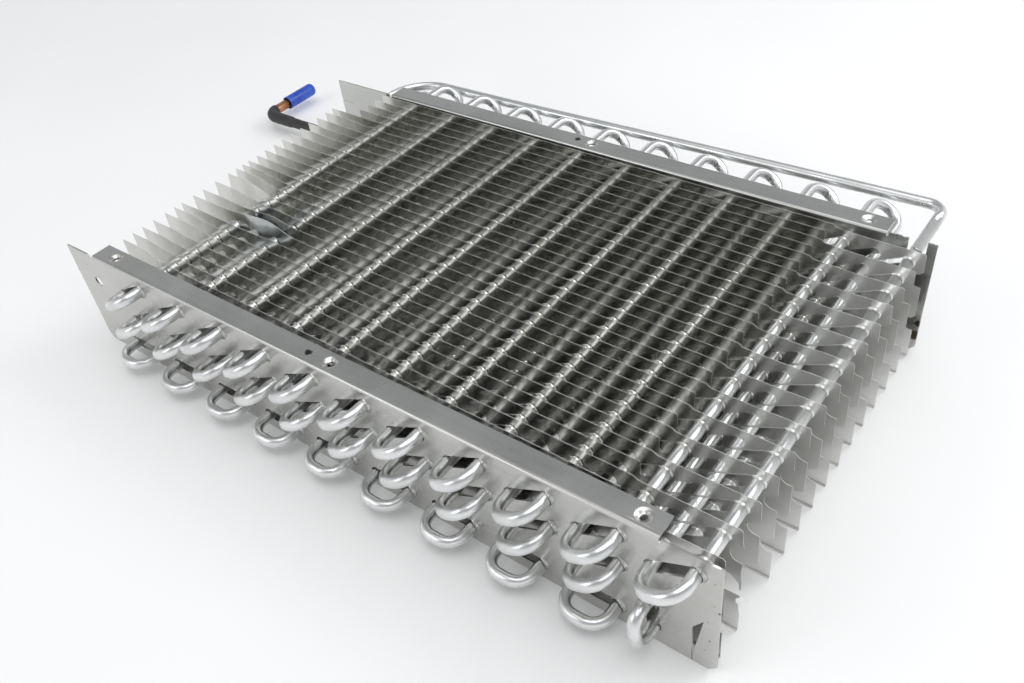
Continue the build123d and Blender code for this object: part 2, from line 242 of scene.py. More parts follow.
def scaled(nodes, links, source, low, high):
    """A value taken from low..high to 0..1."""
    node = nodes.new("ShaderNodeMapRange")
    node.inputs["From Min"].default_value = low
    node.inputs["From Max"].default_value = high
    links.new(source, node.inputs["Value"])
    return node.outputs["Result"]


def sheet_metal(name, low, high, rough, dirt, spots):
    """Bare aluminium sheet with rolling streaks, soft clouds, pits, stains and dark spots."""
    material, nodes, links, shader, coords = new_material(name)
    clouds = noise_node(nodes, links, coords, 16, 4)
    streaks = noise_node(nodes, links, coords, 420, 2, (0.02, 1, 1))
    stains = noise_node(nodes, links, coords, 60, 6, rough=0.7)
    pits = noise_node(nodes, links, coords, 620, 2)
    base = ramp(nodes, links, clouds, [(0.3, low), (0.7, high)])
    base = mix_color(nodes, links, 0.10, base, ramp(nodes, links, streaks,
                                                    [(0.3, grey(0.35)), (0.65, grey(0.7))]),
                     "OVERLAY")
    dull = ramp(nodes, links, stains, [(0.0, grey(1)), (0.60, grey(1)), (0.76, grey(0.62))])
    base = mix_color(nodes, links, dirt, base, dull, "MULTIPLY")
    dark = ramp(nodes, links, pits, [(0.0, grey(1)), (0.735, grey(1)), (0.76, grey(0.45))])
    base = mix_color(nodes, links, 0.8, base, dark, "MULTIPLY")
    for centre, radius, color in spots:
        base = mix_color(nodes, links, spot(nodes, links, coords, centre, radius), base, color)
    links.new(base, shader.inputs["Base Color"])
    shader.inputs["Metallic"].default_value = 1.0
    value = ramp(nodes, links, clouds, [(0.25, grey(rough - 0.05)), (0.75, grey(rough + 0.06))])
    links.new(value, shader.inputs["Roughness"])
    normal = bump(nodes, links, streaks, 0.10, 0.00003)
    normal = bump(nodes, links, stains, 0.10, 0.00012, normal)
    links.new(normal, shader.inputs["Normal"])
    return material


def tube_metal():
    """Bright drawn aluminium tube with faint dents, draw marks and darker smears."""
    material, nodes, links, shader, coords = new_material("bright_tube")
    clouds = noise_node(nodes, links, coords, 60, 5)
    dents = noise_node(nodes, links, coords, 120, 2)
    marks = noise_node(nodes, links, coords, 900, 3, (1, 0.05, 1))
    base = ramp(nodes, links, clouds, [(0.28, (0.62, 0.63, 0.625)), (0.55, (0.74, 0.75, 0.75)),
                                       (0.8, (0.82, 0.83, 0.835))])
    base = mix_color(nodes, links, 0.10, base, ramp(nodes, links, marks,
                                                    [(0.35, grey(0.3)), (0.6, grey(0.75))]),
                     "OVERLAY")
    links.new(base, shader.inputs["Base Color"])
    shader.inputs["Metallic"].default_value = 1.0
    value = ramp(nodes, links, clouds, [(0.3, grey(0.34)), (0.7, grey(0.25))])
    links.new(value, shader.inputs["Roughness"])
    normal = bump(nodes, links, dents, 0.16, 0.0004)
    normal = bump(nodes, links, marks, 0.06, 0.00005, normal)
    links.new(normal, shader.inputs["Normal"])
    return material


def fin_metal():
    """Thin fin stock rolled lengthwise, so that what it mirrors is drawn out upward."""
    material, nodes, links, shader, coords = new_material("fin_stock")
    clouds = noise_node(nodes, links, coords, 14, 3)
    waves = noise_node(nodes, links, coords, 30, 1, (1, 0.3, 0.6))
    base = ramp(nodes, links, clouds, [(0.25, (0.64, 0.637, 0.605)), (0.75, (0.70, 0.70, 0.678))])
    parts = nodes.new("ShaderNodeSeparateXYZ")
    links.new(coords.outputs["Object"], parts.inputs["Vector"])
    across = scaled(nodes, links, parts.outputs["X"], -0.24, 0.27)
    # Painted light: the fins' right ends are painted lighter, for the haze of light that lies over
    # them; they are also made rougher below.
    right = ramp(nodes, links, across, [(0.84, grey(0)), (0.96, grey(1))])
    base = mix_color(nodes, links, right, base, (0.82, 0.82, 0.805))
    # Painted shade: the crushed dent in the fins near the left front is painted darker, standing in
    # for the shade its bent faces take.
    dent_painted_shade = spot(nodes, links, coords, (112.0, 95.0, -4.0), 26.0, 0.2)
    links.new(mix_color(nodes, links, dent_painted_shade, base, (0.47, 0.49, 0.49)),
              shader.inputs["Base Color"])
    shader.inputs["Metallic"].default_value = 1.0
    value = ramp(nodes, links, clouds, [(0.3, grey(0.18)), (0.7, grey(0.15))])
    ends = ramp(nodes, links, across,
                [(0.0, grey(0.12)), (0.07, grey(0.12)), (0.12, grey(0)), (0.84, grey(0)),
                 (0.91, grey(0.14)), (1.0, grey(0.18))])
    links.new(mix_color(nodes, links, 1.0, value, ends, "ADD"), shader.inputs["Roughness"])
    links.new(bump(nodes, links, waves, 0.04, 0.0006), shader.inputs["Normal"])
    shader.inputs["Anisotropic"].default_value = 0.75
    tangent = nodes.new("ShaderNodeTangent")
    tangent.direction_type = "UV_MAP"
    tangent.uv_map = "upward"
    links.new(tangent.outputs["Tangent"], shader.inputs["Tangent"])
    return material


def cut_edge():
    """Sheared edge of the fin stock, dull and light."""
    material, nodes, links, shader, coords = new_material("fin_cut_edge")
    fine = noise_node(nodes, links, coords, 90, 3)
    links.new(ramp(nodes, links, fine, [(0.3, (0.50, 0.51, 0.49)), (0.7, (0.70, 0.71, 0.69))]),
              shader.inputs["Base Color"])
    shader.inputs["Metallic"].default_value = 0.2
    shader.inputs["Roughness"].default_value = 0.5
    return material


def copper_metal():
    """Copper tube, dulled by handling and by the heat of brazing."""
    material, nodes, links, shader, coords = new_material("dull_copper")
    clouds = noise_node(nodes, links, coords, 120, 6, rough=0.65)
    fine = noise_node(nodes, links, coords, 800, 3)
    base = ramp(nodes, links, clouds, [(0.25, (0.16, 0.075, 0.040)), (0.5, (0.42, 0.19, 0.095)),
                                       (0.75, (0.62, 0.33, 0.19))])
    links.new(base, shader.inputs["Base Color"])
    shader.inputs["Metallic"].default_value = 1.0
    links.new(ramp(nodes, links, clouds, [(0.3, grey(0.55)), (0.7, grey(0.32))]),
              shader.inputs["Roughness"])
    links.new(bump(nodes, links, fine, 0.2, 0.0001), shader.inputs["Normal"])
    return material


def sleeve_plastic():
    """Dark heat-shrink sleeve with a faint sheen and lengthwise creases."""
    material, nodes, links, shader, coords = new_material("shrink_sleeve")
    creases = noise_node(nodes, links, coords, 420, 4, (0.25, 1, 1))
    clouds = noise_node(nodes, links, coords, 90, 4)
    base = ramp(nodes, links, clouds, [(0.3, (0.012, 0.012, 0.013)), (0.7, (0.032, 0.032, 0.034))])
    links.new(base, shader.inputs["Base Color"])
    links.new(ramp(nodes, links, clouds, [(0.3, grey(0.42)), (0.7, grey(0.6))]),
              shader.inputs["Roughness"])
    links.new(bump(nodes, links, creases, 0.5, 0.0004), shader.inputs["Normal"])
    return material


def cap_plastic():
    """Glossy blue soft plastic with a slight orange-peel and rubbed patches."""
    material, nodes, links, shader, coords = new_material("blue_cap")
    clouds = noise_node(nodes, links, coords, 110, 4)
    peel = noise_node(nodes, links, coords, 650, 2)
    base = ramp(nodes, links, clouds, [(0.3, (0.012, 0.055, 0.40)), (0.7, (0.028, 0.105, 0.56))])
    links.new(base, shader.inputs["Base Color"])
    links.new(ramp(nodes, links, clouds, [(0.3, grey(0.22)), (0.7, grey(0.36))]),
              shader.inputs["Roughness"])
    links.new(bump(nodes, links, peel, 0.18, 0.0002), shader.inputs["Normal"])
    return material


def floor_material():
    """Plain pale matt floor."""
    material, nodes, links, shader, coords = new_material("pale_floor")
    links.new(ramp(nodes, links, noise_node(nodes, links, coords, 3, 2),
                   [(0.3, grey(0.90)), (0.7, grey(0.93))]), shader.inputs["Base Color"])
    shader.inputs["Roughness"].default_value = 0.9
    return material


GRIME = (0.10, 0.085, 0.06)
SHADE = (0.05, 0.05, 0.05)
near_spots = [((252.5, 8.2, 0), 2.6, SHADE), ((539.3, 0.5, -36), 0.9, GRIME),
              ((536.5, 0, -32), 0.4, GRIME), ((536, 0, -14), 0.4, GRIME),
              ((533.6, 0, -48), 0.4, GRIME), ((535.2, 0, -64), 0.55, GRIME),
              ((532.9, 0, -74.5), 0.4, GRIME), ((18, 0, -12), 0.5, GRIME)]
far_spots = [((257.9, 302.2, 0), 2.4, SHADE), ((539, 293, -66), 3.0, GRIME),
             ((538, 293, -76), 4.5, GRIME)]
NEAR_PLATE = sheet_metal("near_plate_sheet", (0.51, 0.507, 0.485), (0.59, 0.59, 0.57), 0.27, 0.3,
                         near_spots)
FAR_PLATE = sheet_metal("far_plate_sheet", (0.49, 0.495, 0.48), (0.57, 0.575, 0.56), 0.27, 0.4,
                        far_spots)
TUBE = tube_metal()
FIN = fin_metal()
FIN_EDGE = cut_edge()
COPPER = copper_metal()
SLEEVE = sleeve_plastic()
CAP = cap_plastic()


# Mesh helpers

def add_piece(name, vertices, faces, material, nodes):
    """A smooth mesh that rides on the part and stands for the named nodes."""
    mesh = bpy.data.meshes.new(name)
    mesh.from_pydata([place(*v) for v in vertices], [], faces)
    mesh.validate()
    mesh.polygons.foreach_set("use_smooth", [True] * len(mesh.polygons))
    mesh.materials.append(material)
    piece = bpy.data.objects.new(name, mesh)
    bpy.context.scene.collection.objects.link(piece)
    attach(piece, "root")
    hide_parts(*nodes)
    return piece


def corner_arc(before, corner, after, radius, steps):
    """Points of the round bend at a corner."""
    b, c, a = (np.array(p, float) for p in (before, corner, after))
    u = (b - c) / np.linalg.norm(b - c)
    v = (a - c) / np.linalg.norm(a - c)
    half = math.acos(float(np.clip(u @ v, -1, 1))) / 2
    if abs(half - math.pi / 2) < 0.01:
        return [c]
    setback = radius / math.tan(half)
    centre = c + (u + v) / np.linalg.norm(u + v) * radius / math.sin(half)
    start, end = c + u * setback - centre, c + v * setback - centre
    sweep = math.pi - 2 * half
    out = []
    for i in range(steps + 1):
        t = sweep * i / steps
        out.append(centre + (start * math.sin(sweep - t) + end * math.sin(t)) / math.sin(sweep))
    return out


def eased(t):
    """A share from 0 to 1 with a soft start and end."""
    return t * t * (3 - 2 * t)


def bend_path(points, radii, steps):
    """Path through the points with each inner corner rounded, and a flag where it bends."""
    path = [(np.array(points[0], float), 0.0)]
    for i in range(1, len(points) - 1):
        arc = corner_arc(points[i - 1], points[i], points[i + 1], radii[i - 1], steps)
        count = len(arc) - 1
        for j, p in enumerate(arc):
            path.append((p, math.sin(math.pi * (j + 0.5) / (count + 1)) if count else 0.0))
    path.append((np.array(points[-1], float), 0.0))
    return path


def tube_mesh(path, radius, sides, flatten=0.0, radius_of=None):
    """Vertices and faces of a tube along a path, flattened a little where it bends."""
    pts = [p for p, _ in path]
    bends = [b for _, b in path]
    vertices, faces = [], []
    tangent = pts[1] - pts[0]
    tangent = tangent / np.linalg.norm(tangent)
    side = np.cross(tangent, (0.0, 0.0, 1.0))
    if np.linalg.norm(side) < 0.1:
        side = np.cross(tangent, (1.0, 0.0, 0.0))
    side = side / np.linalg.norm(side)
    for i, p in enumerate(pts):
        after = pts[min(i + 1, len(pts) - 1)] - p
        before = p - pts[max(i - 1, 0)]
        after = after / (np.linalg.norm(after) or 1)
        before = before / (np.linalg.norm(before) or 1)
        tangent = after + before
        tangent = tangent / np.linalg.norm(tangent)
        side = side - tangent * (side @ tangent)
        side = side / np.linalg.norm(side)
        other = np.cross(tangent, side)
        inward = after - before
        in_plane = None
        if flatten and np.linalg.norm(inward) > 1e-4:
            in_plane = inward / np.linalg.norm(inward)
        r = radius_of(i, p) if radius_of else radius
        for j in range(sides):
            a = 2 * math.pi * j / sides
            d = side * math.cos(a) + other * math.sin(a)
            offset = d * r
            if in_plane is not None:
                share = d @ in_plane
                offset = offset - in_plane * share * r * flatten * bends[i]
            vertices.append(p + offset)
    for i in range(len(pts) - 1):
        for j in range(sides):
            k = (j + 1) % sides
            faces.append((i * sides + j, i * sides + k, (i + 1) * sides + k, (i + 1) * sides + j))
    faces.append(tuple(range(sides - 1, -1, -1)))
    last = (len(pts) - 1) * sides
    faces.append(tuple(last + j for j in range(sides)))
    return [tuple(v) for v in vertices], faces


def lathe(profile, steps, centre, axis):
    """Body of revolution of (distance along, radius) points about an axis."""
    axis = np.array(axis, float)
    side = np.cross(axis, (0.0, 0.0, 1.0) if abs(axis[2]) < 0.9 else (1.0, 0.0, 0.0))
    side = side / np.linalg.norm(side)
    other = np.cross(axis, side)
    vertices, faces = [], []
    for along, r in profile:
        for j in range(steps):
            a = 2 * math.pi * j / steps
            vertices.append(tuple(np.array(centre) + axis * along
                                  + (side * math.cos(a) + other * math.sin(a)) * max(r, 0.01)))
    for i in range(len(profile) - 1):
        for j in range(steps):
            k = (j + 1) % steps
            faces.append((i * steps + j, i * steps + k, (i + 1) * steps + k, (i + 1) * steps + j))
    return vertices, faces


# Tube

random.seed(7)


def row_corners(legs, first_end, droop=0.0, reach=None):
    """Corner points of a row of legs, with small differences in how far its bends stand out.

    Reach gives the slack of single bends, by number, in place of the random one.
    """
    points = []
    near = first_end == "near"
    for i, (a, b) in enumerate(zip(legs, legs[1:])):
        slack = (reach or {}).get(i, random.uniform(0.0, 0.9))
        tip = NEAR_TIP + slack if near else FAR_TIP - slack
        drop = droop if near and a[1] == b[1] else 0.0
        points.append((a[0], tip, a[1] - drop))
        points.append((b[0], tip, b[1] - drop))
        near = not near
    return points


def shortened(points):
    """Bend radius at each corner, held to half the distance to the next corner."""
    out = []
    for i in range(1, len(points) - 1):
        near = min(np.linalg.norm(np.subtract(points[i], points[i - 1])),
                   np.linalg.norm(np.subtract(points[i + 1], points[i])))
        out.append(min(BEND_R, near / 2 - 0.05))
    return out


def add_tube(name, points, node):
    """A row of the tube through its corner points."""
    path = bend_path(points, shortened(points), 7)
    vertices, faces = tube_mesh(path, TUBE_R, 20, 0.13)
    add_piece(name, vertices, faces, TUBE, [node])


SEAM_NEAR = NEAR_TIP + BEND_R + 2
SEAM_FAR = FAR_TIP - BEND_R - 2

top_legs = [leg for slot in TOP_SLOTS for leg in slot]
corners = row_corners(top_legs, "near", reach={0: 2.5})
start = (top_legs[0][0], SEAM_FAR, top_legs[0][1])
end = (top_legs[-1][0], SEAM_FAR, top_legs[-1][1])
add_tube("top_row", [start] + corners + [end], "top_row_tube")

middle_legs = [LINK_UPPER]
for slot in reversed(MIDDLE_SLOTS):
    middle_legs += [slot[1], slot[0]]
middle_legs.append(lower(0, TOP_LEVEL))
corners = row_corners(middle_legs, "far")
start = (middle_legs[0][0], SEAM_NEAR, middle_legs[0][1])
end = (middle_legs[-1][0], SEAM_FAR, middle_legs[-1][1])
add_tube("middle_row", [start] + corners + [end], "middle_row_tube")

bottom_legs = [leg for slot in BOTTOM_SLOTS for leg in slot] + [LINK_LOWER, LINK_UPPER]
corners = row_corners(bottom_legs, "near", 1.2)
INLET_Y = PLATE_SPAN + 16.5
JOINT_X = bottom_legs[0][0] - 150.0
STUB_X = bottom_legs[0][0] - 187.7
start = (JOINT_X, INLET_Y, INLET_LEVEL)
corners = [(bottom_legs[0][0], INLET_Y, INLET_LEVEL)] + corners
end = (bottom_legs[-1][0], SEAM_NEAR, bottom_legs[-1][1])
add_tube("bottom_row", [start] + corners + [end], "bottom_row_tube")

x, z = upper(LAST, TOP_LEVEL)
DOWN_Y = PLATE_SPAN + 15.6
points = [(x, SEAM_FAR, z), (x, RETURN_Y - 0.4, z), (336.0, RETURN_Y, -16.3),
          (140.0, RETURN_Y, -20.6), (RETURN_X, RETURN_Y, RETURN_LEVEL),
          (RETURN_X, DOWN_Y, RETURN_LEVEL), (RETURN_X, DOWN_Y, -34.0)]
path = bend_path(points, [BEND_R, 200, 200, 38, BEND_R], 10)
vertices, faces = tube_mesh(path, TUBE_R, 20, 0.06)
add_piece("return_run", vertices, faces, TUBE, ["return_line"])


# Inlet stub, sleeve and cap, and the return stub and its cap

stub_end = INLET_Y + 46.0
path = bend_path([(JOINT_X - 0.1, INLET_Y, INLET_LEVEL), (STUB_X, INLET_Y, INLET_LEVEL),
                  (STUB_X, stub_end, INLET_LEVEL)], [BEND_R], 12)
vertices, faces = tube_mesh(path, COPPER_R, 24, 0.06)
add_piece("inlet_stub", vertices, faces, COPPER, ["inlet_copper_stub"])

path = bend_path([(JOINT_X + 37.0, INLET_Y, INLET_LEVEL), (STUB_X, INLET_Y, INLET_LEVEL),
                  (STUB_X, INLET_Y + 12.0, INLET_LEVEL)], [BEND_R], 12)
fine = []
for (p, bend), (q, _) in zip(path, path[1:]):
    count = max(1, int(np.linalg.norm(q - p) // 1.6))
    fine += [(p + (q - p) * j / count, bend) for j in range(count)]
fine.append(path[-1])


def sleeve_radius(i, p):
    """Tight over the tube, wider over the copper, and pinched at both ends."""
    t = min(1.0, max(0.0, (JOINT_X + 2.5 - p[0]) / 5.0))
    r = TUBE_R + 1.05 + (COPPER_R - TUBE_R) * eased(t)
    end_gap = min(i, len(fine) - 1 - i)
    if end_gap < 2:
        r -= 0.25 * (2 - end_gap)
    return r + 0.07 * noise.noise(Vector((p[0] * 0.31, p[1] * 0.4, 3.0)))


vertices, faces = tube_mesh(fine, 5.0, 28, 0.05, sleeve_radius)
add_piece("shrink_sleeve", vertices, faces, SLEEVE, ["joint_sleeve"])


def cap_profile(lap, end_length):
    """Outline of a push-on cap: dark mouth, rolled rim, straight wall and round end."""
    bore, outer, length = COPPER_R + 0.1, 6.66, lap + end_length
    points = [(lap, 0.0), (lap, bore), (4.2, bore), (3.6, bore + 0.9), (0.5, bore + 1.05),
              (0.1, bore + 1.2), (0.0, bore + 1.45), (0.15, outer - 0.1), (0.5, outer),
              (lap * 0.6, outer - 0.02), (lap, outer), (length - 4.0, outer - 0.05)]
    for j in range(1, 9):
        a = math.pi / 2 * j / 8
        points.append((length - 4.0 + 4.0 * math.sin(a), outer - 4.05 + 4.0 * math.cos(a)))
    points.append((length, 0.0))
    return points


vertices, faces = lathe(cap_profile(18.0, 20.0), 32, (STUB_X, stub_end - 18.0, INLET_LEVEL),
                        (0, 1, 0))
add_piece("blue_cap", vertices, faces, CAP, ["inlet_cap"])

path = [(np.array((RETURN_X, DOWN_Y, -34.1)), 0.0), (np.array((RETURN_X, DOWN_Y, -48.1)), 0.0)]
vertices, faces = tube_mesh(path, COPPER_R, 24)
add_piece("return_stub", vertices, faces, COPPER, ["return_copper_stub"])
vertices, faces = lathe(cap_profile(12.0, 14.0), 32, (RETURN_X, DOWN_Y, -36.1), (0, 0, -1))
add_piece("return_cap_blue", vertices, faces, CAP, ["return_cap"])


# Fins

def stadium(slot, half, count, side):
    """Closed loop round a pair of legs, with points along each straight side, near its ends."""
    (x1, z1), (x2, z2) = slot
    angle = math.atan2(z2 - z1, x2 - x1)
    loop = []
    for (cx, cz), turn in ((slot[0], math.pi / 2), (slot[1], -math.pi / 2)):
        for j in range(count + 1):
            a = angle + turn + math.pi * j / count
            loop.append((cx + half * math.cos(a), cz + half * math.sin(a)))
        other = slot[1] if (cx, cz) == slot[0] else slot[0]
        a = angle + turn + math.pi
        for j in range(side):
            t = 0.1 + 0.8 * j / (side - 1) if side > 1 else 0.5
            loop.append((cx + (other[0] - cx) * t + half * math.cos(a),
                         cz + (other[1] - cz) * t + half * math.sin(a)))
    return loop


def leg_share(count, side):
    """1 round each leg of the loop and 0 along its straight sides."""
    return ([1.0] * (count + 1) + [0.0] * side) * 2


def segment_distance(x, z, slots):
    """Distance from each point to the nearest slot's middle line."""
    best = np.full(len(x), 1e9)
    for (x1, z1), (x2, z2) in slots:
        dx, dz = x2 - x1, z2 - z1
        t = np.clip(((x - x1) * dx + (z - z1) * dz) / (dx * dx + dz * dz), 0, 1)
        best = np.minimum(best, np.hypot(x - x1 - t * dx, z - z1 - t * dz))
    return best


def inside(x, z, polygon):
    """Which points lie in a closed polygon."""
    px = np.array([p[0] for p in polygon])
    pz = np.array([p[1] for p in polygon])
    qx, qz = np.roll(px, -1), np.roll(pz, -1)
    hit = np.zeros(len(x), bool)
    for x1, z1, x2, z2 in zip(px, pz, qx, qz):
        if z1 == z2:
            continue
        hit ^= ((z1 > z) != (z2 > z)) & (x < (x2 - x1) * (z - z1) / (z2 - z1) + x1)
    return hit


def divided(corners, step):
    """Closed outline with each side cut into lengths of about the step."""
    out = []
    for a, b in zip(corners, corners[1:] + corners[:1]):
        count = max(1, int(math.dist(a, b) / step + 0.5))
        out += [(a[0] + (b[0] - a[0]) * j / count, a[1] + (b[1] - a[1]) * j / count)
                for j in range(count)]
    return out


def flat_mesh(loops, holes, chains, loose):
    """Triangles inside the first loop and outside the holes.

    Each loop's and chain's edges are kept. Returned with the points are their triangles and,
    for each loop, the numbers of its points.
    """
    points, edges, starts = [], [], []
    for loop in loops:
        first = len(points)
        starts.append((first, len(loop)))
        points += [Vector(p) for p in loop]
        edges += [(first + j, first + (j + 1) % len(loop)) for j in range(len(loop))]
    for chain in chains:
        first = len(points)
        points += [Vector(p) for p in chain]
        edges += [(first + j, first + j + 1) for j in range(len(chain) - 1)]
    points += [Vector(p) for p in loose]
    verts, _, tris, sources, _, _ = delaunay_2d_cdt(points, edges, [], 0, 0.004)
    where = {}
    for number, group in enumerate(sources):
        for source in group:
            where[source] = number
    flat = np.array([(v[0], v[1]) for v in verts])
    tris = np.array([t for t in tris if len(t) == 3])
    mid = flat[tris].mean(axis=1)
    good = inside(mid[:, 0], mid[:, 1], loops[0])
    for hole in holes:
        low, high = np.min(hole, axis=0), np.max(hole, axis=0)
        near = np.all((mid > low) & (mid < high), axis=1)
        spots = np.nonzero(near & good)[0]
        good[spots[inside(mid[spots, 0], mid[spots, 1], hole)]] = False
    tris = tris[good]
    a, b, c = flat[tris[:, 0]], flat[tris[:, 1]], flat[tris[:, 2]]
    turned = (b[:, 0] - a[:, 0]) * (c[:, 1] - a[:, 1]) < (c[:, 0] - a[:, 0]) * (b[:, 1] - a[:, 1])
    tris[turned] = tris[turned][:, ::-1]
    used = np.unique(tris)
    renumber = np.full(len(flat), -1)
    renumber[used] = np.arange(len(used))
    rings = [[int(renumber[where[first + j]]) for j in range(count)] for first, count in starts]
    return flat[used], [tuple(int(renumber[v]) for v in t) for t in tris], rings


def open_edges(tris):
    """Edges that only one triangle has."""
    border = {}
    for t in tris:
        for a, b in ((t[0], t[1]), (t[1], t[2]), (t[2], t[0])):
            if (b, a) in border:
                del border[(b, a)]
            else:
                border[(a, b)] = True
    return list(border)


# Where each kind of slot is cut, and its rim as (distance from the middle line, height)
SLOT_ROOT = 4.65
COLLAR = [(4.42, 0.22), (4.24, 0.75), (4.19, 1.7), (4.06, 1.7), (4.06, 0.6)]
SPARE_ROOT = 4.3
SPARE_RIM = [(4.2, 0.05), (4.12, 0.12), (4.05, 0.1), (4.05, 0.0)]

# Fin edges that turn by more than this are shaded as sharp
SHARP_ANGLE = math.radians(38)

# Where two fins are torn, as outlines of what is gone
TORN = {4: [[(540, -57.3), (529, -59.3), (521, -65.3), (511, -73.3), (504, -91), (540, -91)]],
        2: [[(525.2, -44), (527.7, -42), (531.2, -41.6), (534.2, -45.5), (535.9, -48.5),
             (536.6, -53), (540.4, -54), (540.4, -57.5), (537, -57), (528.6, -57.3),
             (523.2, -57.5)]]}


def fin_outline(index):
    """Outline of one fin, with where its left and right ends are."""
    long_fin = index % 2 == 0
    left = LATE_FIN_LEFT if index >= FIN_COUNT - LATE_FINS else FIN_LEFT
    right = PLATE_LENGTH - (LONG_FIN_INSET if long_fin else SHORT_FIN_INSET)
    top_z = FIN_TOP - 0.9 if index == 0 else FIN_TOP
    if long_fin:
        corners = [(left, top_z), (474.0, top_z), (476.5, top_z - FIN_STEP),
                   (right - 1.6, top_z - FIN_STEP), (right - 0.4, top_z - FIN_STEP - 1.2)]
        for level, edge in ((24.2, right), (60.4, right + 0.6)):
            if index == 2 and level > 50:
                corners += [(edge, -58.5), (edge - 1.8, -59.8), (edge - 1.5, -62.6), (edge, -63.4)]
                continue
            corners += [(edge, -level + 7.5)]
            corners += [(edge - 2.2 - 5.1 * math.sin(a), -level + 5.1 * math.cos(a))
                        for a in (math.pi * j / 8 for j in range(9))]
            corners += [(edge + 0.3, -level - 5.1)]
        corners += [(right + 1.0, FIN_BOTTOM)]
    else:
        corners = [(left, top_z), (right, top_z), (right, FIN_BOTTOM)]
    corners += [(left, FIN_BOTTOM)]
    return divided(corners, 6.0), left, right


def fin_shift(index, x, z):
    """How far each point of a fin stands toward the far plate from its even place."""
    seed = index * 7.3
    slow = np.array([noise.noise(Vector((a * 0.021 + seed, b * 0.03, seed)))
                     for a, b in zip(x, z)])
    quick = np.array([noise.noise(Vector((a * 0.075 + seed, b * 0.05, 9.0 + seed)))
                      for a, b in zip(x, z)])
    high = np.clip((z + 40.0) / 38.0, 0, 1)
    low = np.clip((-z - 60.0) / 28.0, 0, 1)
    edge = np.clip((z + 14.0) / 13.0, 0, 1)
    side = 0.0158 * (index - 15)
    drift = 0.155 - 0.0009 * np.clip(x - 155.0, 0, 320) + side
    if index % 2 == 0:
        t = eased(np.clip((x - 462.0) / 45.0, 0, 1))
        drift = drift * (1 - t) + (-0.28 + 0.0085 * (index - 15)) * t
    t = eased(np.clip((112.0 - x) / 62.0, 0, 1))
    tip = 0.43 + LEFT_LEAN.get(index, 0.0) * (0.35 + 0.65 * high)
    drift = drift * (1 - t) + tip * t
    lean = drift * FIN_PITCH
    gap = segment_distance(x, z, SLOTS) - 4.0
    hold = np.clip(gap / 10.0, 0, 1)
    free = np.clip((x - 505.0) / 32.0, 0, 1)
    lean += slow * (0.06 + 0.25 * low) * hold + quick * 0.30 * free
    if index in DENTS:
        centre, width, amount = DENTS[index]
        lean += amount * np.exp(-((x - centre) / width) ** 2) * edge ** 1.7
    if index == 2:
        lean += 1.1 * free * np.sin(z * 0.22)
    return lean


